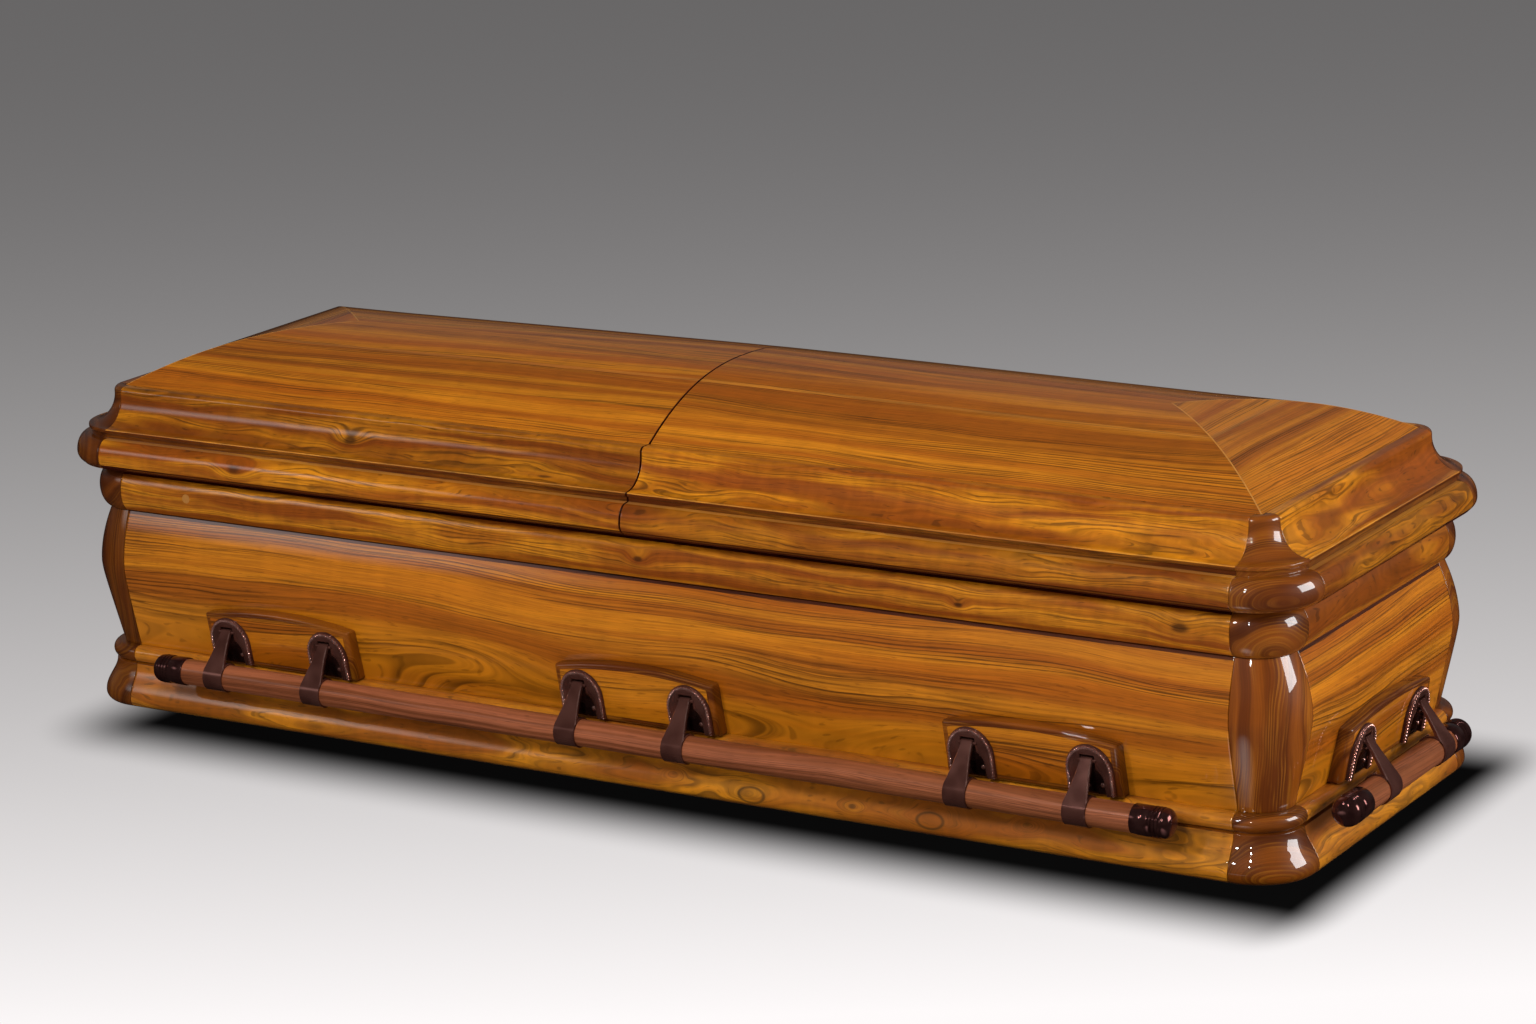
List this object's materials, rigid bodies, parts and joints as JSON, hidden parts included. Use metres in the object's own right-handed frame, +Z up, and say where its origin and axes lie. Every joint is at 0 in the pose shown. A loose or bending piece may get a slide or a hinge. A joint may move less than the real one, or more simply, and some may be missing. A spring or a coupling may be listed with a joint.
{
  "type": "wooden coffin",
  "caption": "Lacquered wooden coffin with an arched lid in two halves, moulded rails, bellied sides, rounded corner posts and hinged carrying bars; hollow and empty.",
  "frame": {"origin": "middle of the underside, where the base moulding and bottom board stand on the floor", "axes": "+Z up, +X along the length toward the foot end, -Y toward the front long side"},
  "size_m": [2.1892, 0.7672, 0.581],
  "materials": {
    "body_wood": "gloss clear lacquer over honey-brown stained hardwood",
    "corner_wood": "gloss clear lacquer over red-brown stained hardwood",
    "bar_wood": "satin brown stained wood, with dark gloss metal caps",
    "dark_copper": "dark antique copper over cast metal, polished on the edges"
  },
  "bodies": {
    "coffin": {"bottom_board": "body_wood", "base_moulding": "body_wood", "panel_front": "body_wood", "panel_back": "body_wood", "panel_foot_end": "body_wood", "panel_head_end": "body_wood", "post_foot_back": "corner_wood", "post_head_back": "corner_wood", "post_head_front": "corner_wood", "post_foot_front": "corner_wood", "top_rail": "body_wood", "lid_head_rim": "body_wood", "lid_foot_rim": "body_wood", "lid_head_crown": "body_wood", "lid_foot_crown": "body_wood", "plaque_front_1": "corner_wood", "plaque_front_2": "corner_wood", "plaque_front_3": "corner_wood", "lug_front_1": "dark_copper", "lug_front_2": "dark_copper", "lug_front_3": "dark_copper", "lug_front_4": "dark_copper", "lug_front_5": "dark_copper", "lug_front_6": "dark_copper", "plaque_back_1": "corner_wood", "plaque_back_2": "corner_wood", "plaque_back_3": "corner_wood", "lug_back_1": "dark_copper", "lug_back_2": "dark_copper", "lug_back_3": "dark_copper", "lug_back_4": "dark_copper", "lug_back_5": "dark_copper", "lug_back_6": "dark_copper", "plaque_foot": "corner_wood", "lug_foot_1": "dark_copper", "lug_foot_2": "dark_copper", "plaque_head": "corner_wood", "lug_head_1": "dark_copper", "lug_head_2": "dark_copper"},
    "handle_front": {"arm_front_1": "dark_copper", "arm_front_2": "dark_copper", "arm_front_3": "dark_copper", "arm_front_4": "dark_copper", "arm_front_5": "dark_copper", "arm_front_6": "dark_copper", "bar_front": "bar_wood"},
    "handle_back": {"arm_back_1": "dark_copper", "arm_back_2": "dark_copper", "arm_back_3": "dark_copper", "arm_back_4": "dark_copper", "arm_back_5": "dark_copper", "arm_back_6": "dark_copper", "bar_back": "bar_wood"},
    "handle_foot": {"arm_foot_1": "dark_copper", "arm_foot_2": "dark_copper", "bar_foot": "bar_wood"},
    "handle_head": {"arm_head_1": "dark_copper", "arm_head_2": "dark_copper", "bar_head": "bar_wood"}
  },
  "joints": [
    {"name": "swing_front", "type": "hinge", "parent": "coffin", "child": "handle_front", "pos_m": [0, -0.338, 0.151], "axis": [-1, 0, 0], "range_deg": [0, 65]},
    {"name": "swing_back", "type": "hinge", "parent": "coffin", "child": "handle_back", "pos_m": [0, 0.338, 0.151], "axis": [1, 0, 0], "range_deg": [0, 65]},
    {"name": "swing_foot", "type": "hinge", "parent": "coffin", "child": "handle_foot", "pos_m": [1.049, 0, 0.151], "axis": [0, -1, 0], "range_deg": [0, 65]},
    {"name": "swing_head", "type": "hinge", "parent": "coffin", "child": "handle_head", "pos_m": [-1.049, 0, 0.151], "axis": [0, 1, 0], "range_deg": [0, 65]}
  ]
}
